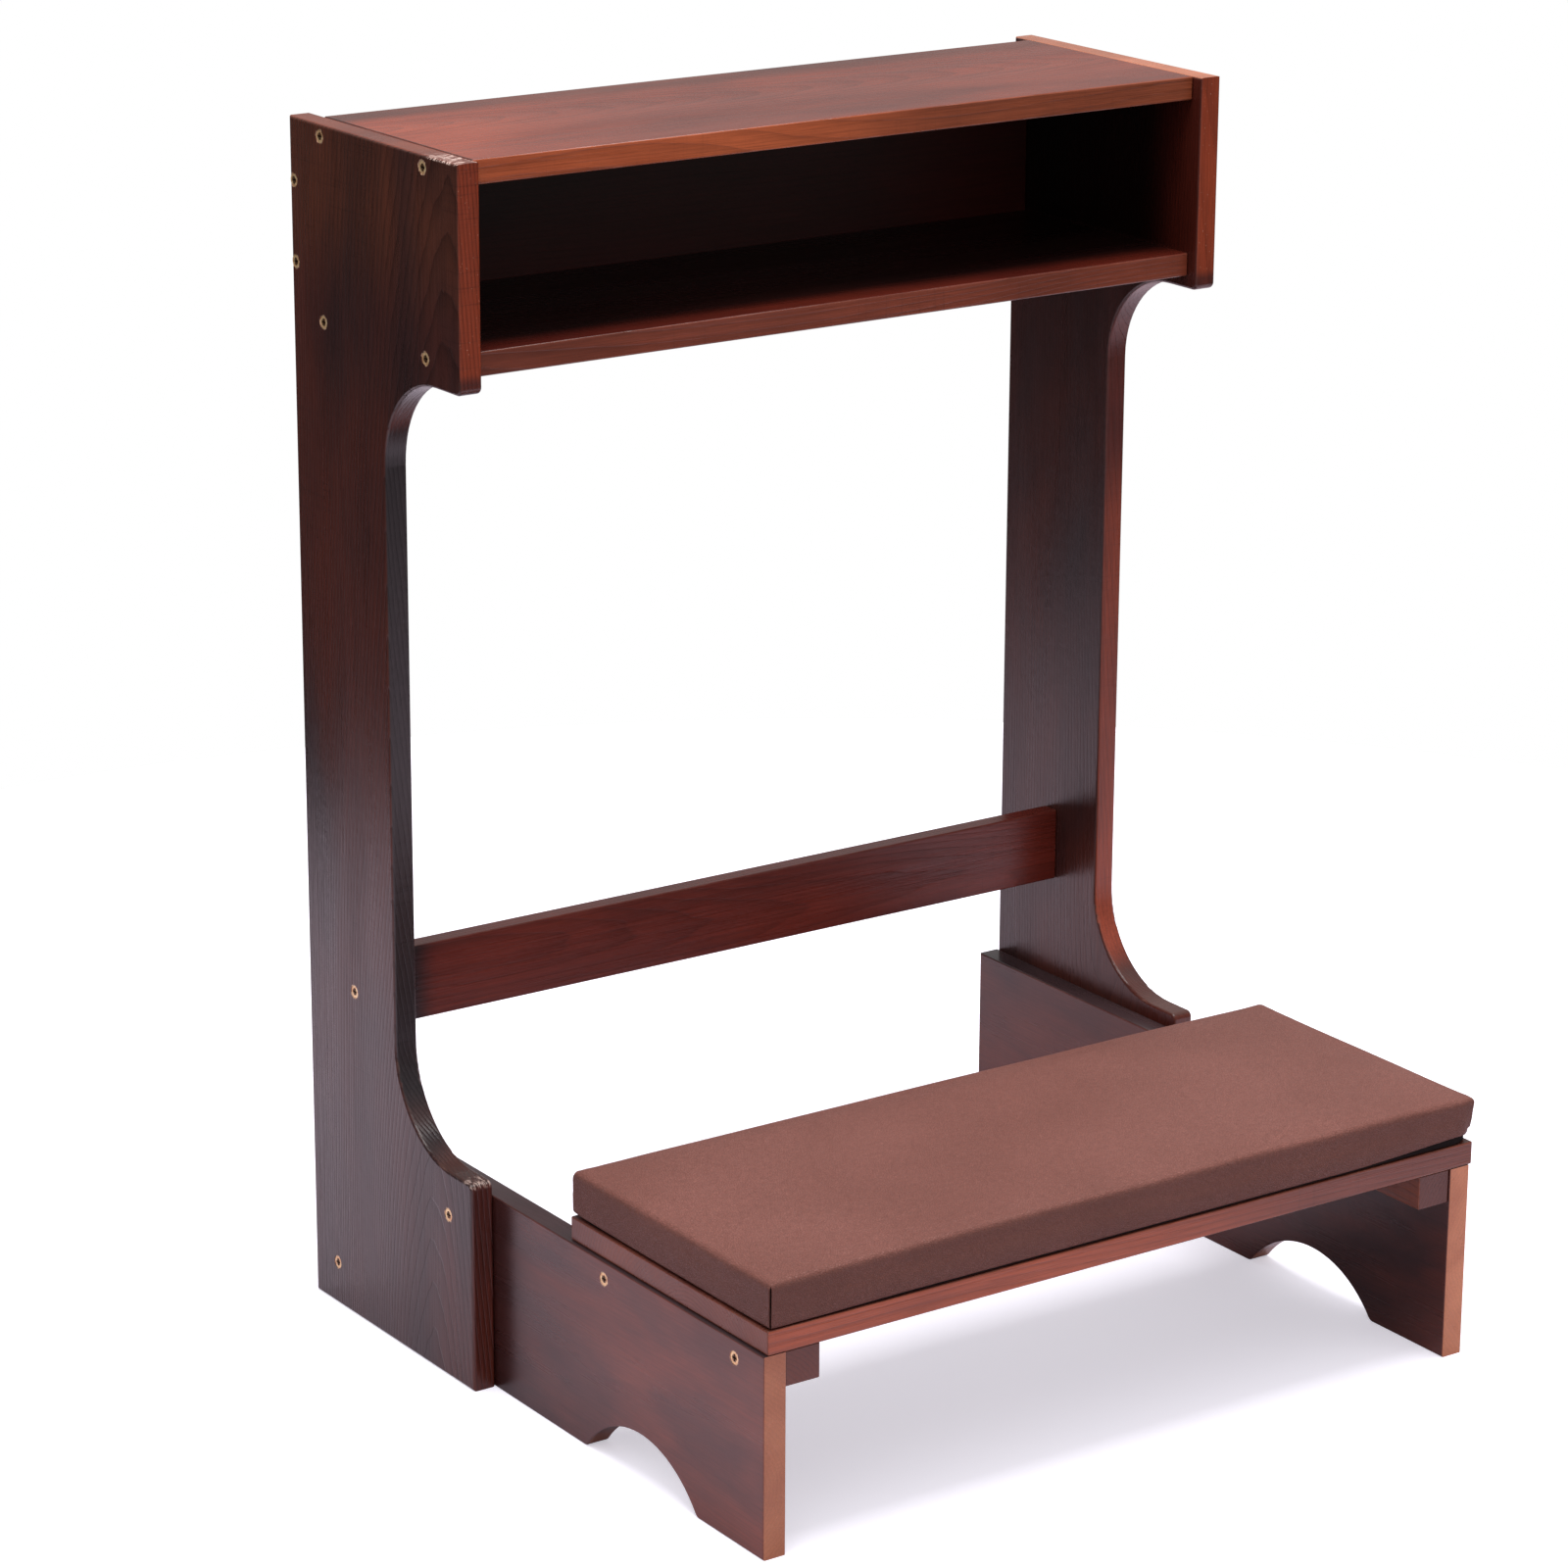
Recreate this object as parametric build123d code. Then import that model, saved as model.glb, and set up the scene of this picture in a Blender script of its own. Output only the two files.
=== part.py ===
from build123d import *
import os

# Wooden prayer kneeler with a book compartment, a cross rail and a padded kneeling board.
# Frame: +Z up, front faces -Y, +X to the right of someone facing the front.
# The origin is on the floor, at the middle of the overall width and depth. Millimetres.

# ---- driving dimensions ------------------------------------------------------------

# Whole object
HEIGHT = 890.0              # floor to the top of the uprights and the desk top
WIDTH = 655.0               # over the outer faces of the two uprights
DEPTH = 570.0               # rear edge of the uprights to the front of the kneeler

# Board stock
UPRIGHT_T = 18.0            # thickness of the two uprights
SHELF_T = 17.5              # thickness of the desk top and the book shelf
BACK_T = 18.0               # thickness of the board that closes the compartment's back
SIDE_T = 18.0               # thickness of the two kneeler sides
BOARD_T = 17.5              # thickness of the kneeling board
UPRIGHT_ARRIS = 2.2         # rounding along the outlines of the uprights
BOARD_ARRIS = 1.2           # rounding along the edges of the other boards
TOE_R = 5.0                 # rounding of the outline corners at the head and the foot

# Uprights
HEAD_DEPTH = 228.0          # depth of the wide top part, which holds the compartment
FOOT_DEPTH = 228.0          # depth of the wide foot
POST_DEPTH = 125.0          # depth of the narrow part between head and foot
HEAD_LIP = 9.8              # head reaches this far below the book shelf
FOOT_HEIGHT = 159.0         # height of the foot in front of the post
HEAD_R = 70.0               # radius where the head runs into the post
FOOT_R = 76.0               # radius where the post runs into the foot

# Book compartment
COMPARTMENT_HEIGHT = 114.2  # clear height between the shelf and the desk top
SHELF_SETBACK = 10.0        # shelf and desk top stand back from the front of the head
BACK_DROP = 9.2             # top of the desk down to the top of the back board

# Cross rail
RAIL_HEIGHT = 57.0
RAIL_T = 15.0
RAIL_BOTTOM = 228.5         # height of the rail's lower edge
RAIL_FROM_REAR = 59.0       # rear edge of the uprights to the rear face of the rail

# Kneeler
SIDE_HEIGHT = 147.5         # height of the kneeler sides
ARCH_WIDTH = 139.0          # opening of the arch at the floor
ARCH_HEIGHT = 35.0          # height of the arch at its crown
ARCH_FROM_FRONT = 150.5     # front end of the side to the middle of the arch
ARCH_TOE_R = 6.0            # rounding where the arch meets the floor
BOARD_DEPTH = 243.0         # front to back size of the kneeling board
BOARD_INSET = 0.5           # board is this much narrower than the sides, at each side
BOARD_SHIFT = 2.5           # board sits this much to the right of the middle
CLEAT_W = 28.0              # width of the blocks under the kneeling board
CLEAT_H = 26.0              # height of those blocks
CLEAT_SETBACK = 1.5         # blocks stop short of the board at both ends

# Pad
PAD_OVERHANG = 1.1          # pad is this much wider than its board, at each side
PAD_REAR_OVERHANG = 2.0     # pad reaches this much past the rear of its board
PAD_SHIFT = 5.0             # pad sits this much to the right of the middle
PAD_BASE_T = 9.0            # plywood base
BASE_CORNER_R = 20.0        # its corners, rounded off so that the cover folds round them
FOAM_T = 23.0               # foam core
COVER_T = 0.8               # vinyl cover
PAD_EDGE_R = 4.0            # rounding of the pad's upper edges and corners
COVER_FLANGE = 26.0         # width of the cover turned in under the base

# Clearances
SEAT_GAP = 0.1              # between faces that are screwed or glued together
PILOT_GAP = 0.05            # between a screw and its hole, on the radius
HEAD_SINK = 0.3             # screw heads lie this far below the face

# Screws with countersunk heads
MAIN_D = 5.0                # thread diameter of the screws that show
MAIN_HEAD_D = 9.8
MAIN_BITE = 32.0            # length that goes into the end of a board
SMALL_D = 4.0               # thread diameter of the screws from below
SMALL_HEAD_D = 8.0
SIDE_TIP_COVER = 2.5        # wood left over the tips in the kneeler sides
CLEAT_TIP_COVER = 5.0       # wood left over the tips in the cleats
BOARD_TIP_COVER = 6.0       # wood left over the tips in the kneeling board
BASE_TIP_COVER = 2.0        # plywood left over the tips in the pad's base
RECESS_W = 1.3              # width of one arm of the cross recess
RECESS_SPAN = 0.56          # span of the cross recess, as a share of the head
RECESS_DEPTH = 2.2
HEAD_RIM = 0.4              # straight rim above the cone of the head

# Screw places, measured along the boards
SHELF_SCREW_REAR = 24.9     # rear edge of shelf and desk top to their rear screws
SHELF_SCREW_FRONT = 35.0    # front edge of shelf and desk top to their front screws
BACK_SCREW_IN = 5.2         # rear edge of the uprights to the screws of the back board
BACK_SCREW_PITCH = 58.0     # height between the two screws of the back board
BACK_SCREW_LOW = 45.9       # lower edge of the back board to its lower screws
FOOT_SCREW_REAR = (33.0, 33.0)      # from the rear edge, above the floor
FOOT_SCREW_FRONT = (32.5, 21.5)     # from the front of the foot, below the kneeler side's top
CLEAT_SCREW_FRONT = 35.5    # front of the kneeling board to the front screw of each cleat
CLEAT_SCREW_REAR = 46.5     # rear of the kneeling board to the rear screw of each cleat
PAD_SCREW_END = 90.0        # ends of the pad to its screws
PAD_SCREW_EDGE = 52.5       # front and rear edge of the pad to its screws

# Staples that hold the cover under the base
STAPLE_CROWN = 10.0
STAPLE_LEG = 6.0
STAPLE_WIRE = 0.6
STAPLE_LONG_COUNT = 9       # along each long side
STAPLE_SHORT_COUNT = 4      # along each short side
STAPLE_MARGIN = 30.0        # from the corner to the first staple

# ---- derived places ----------------------------------------------------------------

REAR = DEPTH / 2
FRONT = -DEPTH / 2
INNER_X = WIDTH / 2 - UPRIGHT_T             # inner face of an upright
SIDE_X = INNER_X - SEAT_GAP                 # outer face of a kneeler side
HEAD_FRONT = REAR - HEAD_DEPTH
FOOT_FRONT = REAR - FOOT_DEPTH
POST_FRONT = REAR - POST_DEPTH
SHELF_LEN = 2 * (INNER_X - SEAT_GAP)        # boards between the uprights
SHELF_FRONT = HEAD_FRONT + SHELF_SETBACK
SHELF_REAR = REAR - BACK_T - SEAT_GAP
DESK_BOTTOM = HEIGHT - SHELF_T
SHELF_TOP = DESK_BOTTOM - COMPARTMENT_HEIGHT
SHELF_BOTTOM = SHELF_TOP - SHELF_T
HEAD_BOTTOM = SHELF_BOTTOM - HEAD_LIP
RAIL_REAR = REAR - RAIL_FROM_REAR
BOARD_WIDTH = 2 * (SIDE_X - BOARD_INSET)
BOARD_BOTTOM = SIDE_HEIGHT + SEAT_GAP
BOARD_TOP = BOARD_BOTTOM + BOARD_T
BOARD_REAR = FRONT + BOARD_DEPTH
CLEAT_OUTER_X = SIDE_X - SIDE_T - SEAT_GAP
CLEAT_TOP = BOARD_BOTTOM - SEAT_GAP
COVER_BOTTOM = BOARD_TOP + SEAT_GAP
BASE_BOTTOM = COVER_BOTTOM + COVER_T
FOAM_BOTTOM = BASE_BOTTOM + PAD_BASE_T
PAD_TOP = FOAM_BOTTOM + FOAM_T + COVER_T
PAD_WIDTH = BOARD_WIDTH + 2 * PAD_OVERHANG
PAD_DEPTH = BOARD_DEPTH + PAD_REAR_OVERHANG
PAD_Y = FRONT + PAD_DEPTH / 2
PAD_SCREW_X = PAD_WIDTH / 2 - PAD_SCREW_END     # from the middle of the pad
PAD_SCREW_Y = PAD_DEPTH / 2 - PAD_SCREW_EDGE


# ---- helpers -----------------------------------------------------------------------

def block(x0, x1, y0, y1, z0, z1):
    """A plain box between two corners."""
    size = Box(x1 - x0, y1 - y0, z1 - z0)
    return Pos((x0 + x1) / 2, (y0 + y1) / 2, (z0 + z1) / 2) * size


def board(x0, x1, y0, y1, z0, z1):
    """A planed board between two corners, with its edges slightly rounded."""
    plain = block(x0, x1, y0, y1, z0, z1)
    return fillet(plain.edges(), BOARD_ARRIS)


def rims(panel):
    """The edges round the two faces of a panel that stands across X."""
    return panel.edges().filter_by(lambda e: abs(e.tangent_at(0.5).X) < 0.5)


def turned(profile):
    """A solid of revolution about Z from (radius, height) points."""
    face = make_face(Polyline(*[(r, 0, z) for r, z in profile], close=True))
    return revolve(face, Axis.Z)


def cone_depth(d, head_d):
    """Depth of a 90 degree countersink from the head's rim down to the thread."""
    return (head_d - d) / 2


def screw(d, head_d, length):
    """A countersunk wood screw along -Z, with the top of its head at Z = 0."""
    r, head_r = d / 2, head_d / 2
    neck = HEAD_RIM + cone_depth(d, head_d)
    body = turned([(0, 0), (head_r, 0), (head_r, -HEAD_RIM), (r, -neck),
                   (r, -length + d), (0, -length)])
    span = head_d * RECESS_SPAN
    arms = Rectangle(span, RECESS_W) + Rectangle(RECESS_W, span)
    recess = extrude(arms, -RECESS_DEPTH, taper=10)
    return body - recess


def screw_hole(d, head_d, length, through):
    """The space a screw needs: countersink and bore. through is the board it passes."""
    r, head_r = d / 2 + PILOT_GAP, head_d / 2 + PILOT_GAP
    neck = HEAD_SINK + HEAD_RIM + cone_depth(d, head_d)
    depth = max(length + HEAD_SINK, through)
    return turned([(0, 1), (head_r, 1), (head_r, -HEAD_SINK - HEAD_RIM), (r, -neck),
                   (r, -depth - PILOT_GAP), (0, -depth - PILOT_GAP)])


def aim(point, direction):
    """A place at point whose local +Z looks along direction, out of the screwed face."""
    return Plane(origin=point, z_dir=direction).location


class ScrewRow:
    """Equal screws, each given by a point on the face it enters and that face's normal."""

    def __init__(self, d, head_d, length, through, places):
        self.size = (d, head_d, length)
        self.through = through
        self.places = places

    def screws(self):
        one = screw(*self.size)
        sunk = [aim(p, n) * Pos(0, 0, -HEAD_SINK) for p, n in self.places]
        return [place * one for place in sunk]

    def holes(self):
        one = screw_hole(*self.size, self.through)
        return [aim(p, n) * one for p, n in self.places]


def drilled(solid, *rows):
    """solid with the holes of every screw row cut out of it."""
    for row in rows:
        for hole in row.holes():
            solid = solid - hole
    return solid


def both_sides(x, places):
    """The same (y, z) places on the outer faces at -x and +x."""
    return [((side * x, y, z), (side, 0, 0)) for side in (-1, 1) for y, z in places]


# ---- fasteners ---------------------------------------------------------------------

def main_screws(places, length, x=WIDTH / 2, through=UPRIGHT_T):
    return ScrewRow(MAIN_D, MAIN_HEAD_D, length, through, both_sides(x, places))


SHELF_SCREW_Y = (SHELF_REAR - SHELF_SCREW_REAR, SHELF_FRONT + SHELF_SCREW_FRONT)
DESK_MID_Z = HEIGHT - SHELF_T / 2
SHELF_MID_Z = SHELF_TOP - SHELF_T / 2
BACK_SCREW_Z = SHELF_BOTTOM + BACK_SCREW_LOW
RAIL_MID = (RAIL_REAR - RAIL_T / 2, RAIL_BOTTOM + RAIL_HEIGHT / 2)
LOWER_TOP = min(FOOT_HEIGHT, SIDE_HEIGHT)   # where foot and kneeler side lie together
CLEAT_MID_X = CLEAT_OUTER_X - CLEAT_W / 2
CLEAT_SCREW_Y = (FRONT + CLEAT_SCREW_FRONT, BOARD_REAR - CLEAT_SCREW_REAR)
BOARD_SCREW_STEP = (CLEAT_SCREW_Y[1] - CLEAT_SCREW_Y[0]) / 4    # keeps clear of those

desk_screws = main_screws([(y, DESK_MID_Z) for y in SHELF_SCREW_Y], UPRIGHT_T + MAIN_BITE)
shelf_screws = main_screws([(y, SHELF_MID_Z) for y in SHELF_SCREW_Y], UPRIGHT_T + MAIN_BITE)
back_screws = main_screws(
    [(REAR - BACK_SCREW_IN, BACK_SCREW_Z + up * BACK_SCREW_PITCH) for up in (0, 1)],
    UPRIGHT_T + MAIN_BITE)
rail_screws = main_screws([RAIL_MID], UPRIGHT_T + MAIN_BITE)
foot_screws = main_screws(
    [(REAR - FOOT_SCREW_REAR[0], FOOT_SCREW_REAR[1]),
     (FOOT_FRONT + FOOT_SCREW_FRONT[0], LOWER_TOP - FOOT_SCREW_FRONT[1])],
    UPRIGHT_T + SEAT_GAP + SIDE_T - SIDE_TIP_COVER)
cleat_screws = main_screws(
    [(y, CLEAT_TOP - CLEAT_H / 2) for y in CLEAT_SCREW_Y],
    SIDE_T + SEAT_GAP + CLEAT_W - CLEAT_TIP_COVER, x=SIDE_X, through=SIDE_T)
board_screws = ScrewRow(
    SMALL_D, SMALL_HEAD_D, CLEAT_H + SEAT_GAP + BOARD_T - BOARD_TIP_COVER, CLEAT_H,
    [((side * CLEAT_MID_X, y, CLEAT_TOP - CLEAT_H), (0, 0, -1))
     for side in (-1, 1) for y in (CLEAT_SCREW_Y[0] + BOARD_SCREW_STEP,
                                   CLEAT_SCREW_Y[1] - BOARD_SCREW_STEP)])
pad_screws = ScrewRow(
    SMALL_D, SMALL_HEAD_D, BASE_BOTTOM - BOARD_BOTTOM + PAD_BASE_T - BASE_TIP_COVER, BOARD_T,
    [((PAD_SHIFT + sx * PAD_SCREW_X, PAD_Y + sy * PAD_SCREW_Y, BOARD_BOTTOM), (0, 0, -1))
     for sx in (-1, 1) for sy in (-1, 1)])


# ---- wooden pieces -----------------------------------------------------------------

def upright(side):
    """A C-shaped side panel: deep head, narrow post, deep foot. side is -1 or +1."""
    outline = Polyline(
        (REAR, 0), (REAR, HEIGHT), (HEAD_FRONT, HEIGHT), (HEAD_FRONT, HEAD_BOTTOM),
        (POST_FRONT, HEAD_BOTTOM), (POST_FRONT, FOOT_HEIGHT), (FOOT_FRONT, FOOT_HEIGHT),
        (FOOT_FRONT, 0), close=True)
    face = make_face(outline)
    head_r = min(HEAD_R, POST_FRONT - HEAD_FRONT - TOE_R - 1)
    foot_r = min(FOOT_R, POST_FRONT - FOOT_FRONT - TOE_R - 1)

    def corner(y, z):
        return face.vertices().sort_by_distance((y, z, 0))[0]

    face = fillet([corner(POST_FRONT, HEAD_BOTTOM)], head_r)
    face = fillet([corner(POST_FRONT, FOOT_HEIGHT)], foot_r)
    face = fillet([corner(HEAD_FRONT, HEAD_BOTTOM), corner(FOOT_FRONT, FOOT_HEIGHT)], TOE_R)
    panel = extrude(Plane.YZ.offset(side * INNER_X) * face, side * UPRIGHT_T)
    panel = fillet(rims(panel), UPRIGHT_ARRIS)
    return drilled(panel, desk_screws, shelf_screws, back_screws, rail_screws, foot_screws)


def desk_top():
    top = board(-SHELF_LEN / 2, SHELF_LEN / 2, SHELF_FRONT, SHELF_REAR,
                DESK_BOTTOM, HEIGHT)
    return drilled(top, desk_screws)


def book_shelf():
    shelf = board(-SHELF_LEN / 2, SHELF_LEN / 2, SHELF_FRONT, SHELF_REAR,
                  SHELF_BOTTOM, SHELF_TOP)
    return drilled(shelf, shelf_screws)


def back_board():
    back = board(-SHELF_LEN / 2, SHELF_LEN / 2, REAR - BACK_T, REAR,
                 SHELF_BOTTOM, HEIGHT - BACK_DROP)
    return drilled(back, back_screws)


def cross_rail():
    rail = board(-SHELF_LEN / 2, SHELF_LEN / 2, RAIL_REAR - RAIL_T, RAIL_REAR,
                 RAIL_BOTTOM, RAIL_BOTTOM + RAIL_HEIGHT)
    return drilled(rail, rail_screws)


def kneeler_side(side):
    """A low board on edge, with an arch cut into its lower edge. side is -1 or +1."""
    mid = FRONT + ARCH_FROM_FRONT
    half = ARCH_WIDTH / 2
    outline = [
        Polyline((mid - half, 0), (FRONT, 0), (FRONT, SIDE_HEIGHT),
                 (REAR, SIDE_HEIGHT), (REAR, 0), (mid + half, 0)),
        ThreePointArc((mid + half, 0), (mid, ARCH_HEIGHT), (mid - half, 0))]
    face = make_face(outline)
    toes = [face.vertices().sort_by_distance((mid + e * half, 0, 0))[0] for e in (-1, 1)]
    face = fillet(toes, ARCH_TOE_R)
    inner_x = SIDE_X - SIDE_T
    panel = extrude(Plane.YZ.offset(side * inner_x) * face, side * SIDE_T)
    panel = fillet(rims(panel), BOARD_ARRIS)
    return drilled(panel, foot_screws, cleat_screws)


def kneeling_board():
    plain = board(BOARD_SHIFT - BOARD_WIDTH / 2, BOARD_SHIFT + BOARD_WIDTH / 2,
                  FRONT, BOARD_REAR, BOARD_BOTTOM, BOARD_TOP)
    return drilled(plain, board_screws, pad_screws)


def cleat(side):
    """A square block in the corner between the kneeling board and one side."""
    xs = sorted((side * CLEAT_OUTER_X, side * (CLEAT_OUTER_X - CLEAT_W)))
    plain = board(xs[0], xs[1], FRONT + CLEAT_SETBACK, BOARD_REAR - CLEAT_SETBACK,
                  CLEAT_TOP - CLEAT_H, CLEAT_TOP)
    return drilled(plain, cleat_screws, board_screws)


# ---- pad ---------------------------------------------------------------------------

def pad_form(inset, bottom, top, edge_r):
    """A block of the pad's outline, moved in by inset, with its upper edges rounded."""
    half_w, half_d = PAD_WIDTH / 2 - inset, PAD_DEPTH / 2 - inset
    form = block(PAD_SHIFT - half_w, PAD_SHIFT + half_w, PAD_Y - half_d, PAD_Y + half_d,
                 bottom, top)
    form = fillet(form.edges().filter_by(Axis.Z), edge_r)
    return fillet(form.faces().sort_by(Axis.Z)[-1].edges(), edge_r)


def staple_places():
    """Middle and direction of every staple, along the four sides of the base."""
    inset = COVER_T + COVER_FLANGE / 2
    long_y, short_x = PAD_DEPTH / 2 - inset, PAD_WIDTH / 2 - inset
    reach_x = PAD_WIDTH / 2 - STAPLE_MARGIN
    reach_y = PAD_DEPTH / 2 - STAPLE_MARGIN
    places = []
    for i in range(STAPLE_LONG_COUNT):
        x = reach_x * (2 * i / (STAPLE_LONG_COUNT - 1) - 1)
        places += [(x, end * long_y, 0) for end in (-1, 1)]
    for i in range(STAPLE_SHORT_COUNT):
        y = reach_y * (2 * i / (STAPLE_SHORT_COUNT - 1) - 1)
        places += [(end * short_x, y, 90) for end in (-1, 1)]
    return [Pos(PAD_SHIFT + x, PAD_Y + y, COVER_BOTTOM) * Rot(0, 0, a) for x, y, a in places]


def staple(gap):
    """A wire staple, legs up, its crown pressed into the cover. gap widens it all round."""
    half, wire = STAPLE_CROWN / 2 + gap, STAPLE_WIRE / 2 + gap
    form = block(-half, half, -wire, wire, -gap, STAPLE_WIRE + gap)
    for x in (-half, half - 2 * wire):
        form = form + block(x, x + 2 * wire, -wire, wire, 0, STAPLE_LEG + gap)
    return form


def pad_staples():
    one = staple(0)
    return [place * one for place in staple_places()]


def stapled(solid):
    """solid with a slot for every staple."""
    slot = staple(PILOT_GAP)
    for place in staple_places():
        solid = solid - place * slot
    return solid


def pad_base():
    inset = COVER_T + SEAT_GAP
    half_w, half_d = PAD_WIDTH / 2 - inset, PAD_DEPTH / 2 - inset
    plain = block(PAD_SHIFT - half_w, PAD_SHIFT + half_w, PAD_Y - half_d, PAD_Y + half_d,
                  BASE_BOTTOM + SEAT_GAP, FOAM_BOTTOM)
    plain = fillet(plain.edges().filter_by(Axis.Z), BASE_CORNER_R)
    return stapled(drilled(plain, pad_screws))


def pad_foam():
    inset = COVER_T + SEAT_GAP
    return pad_form(inset, FOAM_BOTTOM + SEAT_GAP, PAD_TOP - inset, PAD_EDGE_R - inset)


def pad_cover():
    """A skin over the foam and round the base, turned in under it and stapled."""
    skin = pad_form(0, COVER_BOTTOM, PAD_TOP, PAD_EDGE_R)
    skin = skin - pad_form(COVER_T, BASE_BOTTOM, PAD_TOP - COVER_T, PAD_EDGE_R - COVER_T)
    edge = COVER_T + COVER_FLANGE
    half_w, half_d = PAD_WIDTH / 2 - edge, PAD_DEPTH / 2 - edge
    window = block(PAD_SHIFT - half_w, PAD_SHIFT + half_w, PAD_Y - half_d, PAD_Y + half_d,
                   COVER_BOTTOM - 1, BASE_BOTTOM + SEAT_GAP)
    return stapled(skin - window)


# ---- writing -----------------------------------------------------------------------

NODES = {
    "left_upright": lambda: upright(-1),
    "right_upright": lambda: upright(1),
    "desk_top": desk_top,
    "book_shelf": book_shelf,
    "back_board": back_board,
    "cross_rail": cross_rail,
    "left_kneeler_side": lambda: kneeler_side(-1),
    "right_kneeler_side": lambda: kneeler_side(1),
    "kneeling_board": kneeling_board,
    "left_cleat": lambda: cleat(-1),
    "right_cleat": lambda: cleat(1),
    "pad_base": pad_base,
    "pad_foam": pad_foam,
    "pad_cover": pad_cover,
    "pad_staples": pad_staples,
    "desk_top_screws": desk_screws.screws,
    "book_shelf_screws": shelf_screws.screws,
    "back_board_screws": back_screws.screws,
    "cross_rail_screws": rail_screws.screws,
    "foot_screws": foot_screws.screws,
    "cleat_screws": cleat_screws.screws,
    "kneeling_board_screws": board_screws.screws,
    "pad_screws": pad_screws.screws,
}

os.makedirs("parts", exist_ok=True)
for name, make in NODES.items():
    made = make()
    solids = made if isinstance(made, list) else made.solids()
    solids = [s.solids()[0] for s in solids]
    whole = solids[0] if len(solids) == 1 else Compound(children=solids)
    export_step(whole, f"parts/{name}.step")
    print(name, len(solids), round(sum(s.volume for s in solids)))
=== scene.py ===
import math

import bmesh
import bpy
import numpy as np
from mathutils import Matrix, Vector, kdtree, noise


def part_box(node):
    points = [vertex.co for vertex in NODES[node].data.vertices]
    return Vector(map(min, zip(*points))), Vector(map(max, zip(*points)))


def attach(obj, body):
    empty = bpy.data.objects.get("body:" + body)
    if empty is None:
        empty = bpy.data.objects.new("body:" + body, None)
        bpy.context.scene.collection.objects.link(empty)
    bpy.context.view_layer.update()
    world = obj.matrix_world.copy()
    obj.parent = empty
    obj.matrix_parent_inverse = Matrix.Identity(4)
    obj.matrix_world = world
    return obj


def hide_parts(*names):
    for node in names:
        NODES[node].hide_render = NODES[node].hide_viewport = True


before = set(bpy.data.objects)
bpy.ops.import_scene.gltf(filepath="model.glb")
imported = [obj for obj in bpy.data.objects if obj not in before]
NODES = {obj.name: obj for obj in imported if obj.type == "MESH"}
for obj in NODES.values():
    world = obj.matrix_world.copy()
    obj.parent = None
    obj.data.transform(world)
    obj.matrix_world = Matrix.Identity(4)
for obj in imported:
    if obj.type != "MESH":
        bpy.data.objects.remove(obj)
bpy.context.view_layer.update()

MM = 0.001
PAD_LOW, PAD_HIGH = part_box("pad_cover")
PAD_MID = (PAD_LOW + PAD_HIGH) / 2
PAD_HALF = np.array((PAD_HIGH - PAD_LOW) / 2)
WHITE = (1, 1, 1, 1)


# ---- node graphs -------------------------------------------------------------------

class Graph:
    """The nodes of one material, with short names for the few kinds that are used. A value is
    a number, a tuple or another node's output."""

    def __init__(self, name):
        self.material = bpy.data.materials.new(name)
        self.material.use_nodes = True
        self.tree = self.material.node_tree
        self.shader = self.tree.nodes["Principled BSDF"]

    def node(self, kind, sockets=(), **settings):
        made = self.tree.nodes.new("ShaderNode" + kind)
        for key, value in settings.items():
            setattr(made, key, value)
        for key, value in dict(sockets).items():
            self.feed(made.inputs[key], value)
        return made

    def feed(self, socket, value):
        if isinstance(value, bpy.types.NodeSocket):
            self.tree.links.new(value, socket)
        else:
            socket.default_value = value

    def math(self, operation, a, b=0.0):
        return self.node("Math", {0: a, 1: b}, operation=operation).outputs[0]

    def product(self, *values):
        total = values[0]
        for value in values[1:]:
            total = self.math("MULTIPLY", total, value)
        return total

    def step(self, value, low, high, start=0.0, end=1.0):
        """value between low and high as a smooth step from start to end."""
        sockets = {"Value": value, "From Min": low, "From Max": high,
                   "To Min": start, "To Max": end}
        return self.node("MapRange", sockets, interpolation_type="SMOOTHSTEP").outputs[0]

    def mix(self, factor, a, b, blend="MIX"):
        made = self.node("Mix", data_type="RGBA", blend_type=blend)
        for index, value in ((0, factor), (6, a), (7, b)):
            self.feed(made.inputs[index], value)
        return made.outputs[2]

    def vector(self, operation, a, b=(0, 0, 0)):
        return self.node("VectorMath", {0: a, 1: b}, operation=operation).outputs[0]

    def length(self, vector):
        return self.node("VectorMath", {0: vector}, operation="LENGTH").outputs["Value"]

    def dot(self, a, b):
        return self.node("VectorMath", {0: a, 1: b}, operation="DOT_PRODUCT").outputs["Value"]

    def noise(self, vector, scale=1.0, detail=2.0, roughness=0.5, distortion=0.0):
        sockets = {"Vector": vector, "Scale": scale, "Detail": detail, "Roughness": roughness,
                   "Distortion": distortion}
        return self.node("TexNoise", sockets).outputs["Fac"]

    def nearest(self, place, centres):
        """How far the closest of the centres is."""
        least = 1.0
        for centre in centres:
            away = self.node("VectorMath", {0: place, 1: tuple(centre)}, operation="DISTANCE")
            least = self.math("MINIMUM", away.outputs["Value"], least)
        return least

    def place(self):
        return self.node("TexCoord").outputs["Object"]

    def split(self, vector):
        return self.node("SeparateXYZ", {0: vector}).outputs

    def join(self, x, y, z):
        return self.node("CombineXYZ", {0: x, 1: y, 2: z}).outputs[0]

    def bump(self, height, distance, strength=1.0, normal=None):
        sockets = {"Height": height, "Distance": distance, "Strength": strength}
        if normal is not None:
            sockets["Normal"] = normal
        return self.node("Bump", sockets).outputs[0]

    def finish(self, **sockets):
        for key, value in sockets.items():
            self.feed(self.shader.inputs[key.replace("_", " ")], value)
        return self.material


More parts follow.
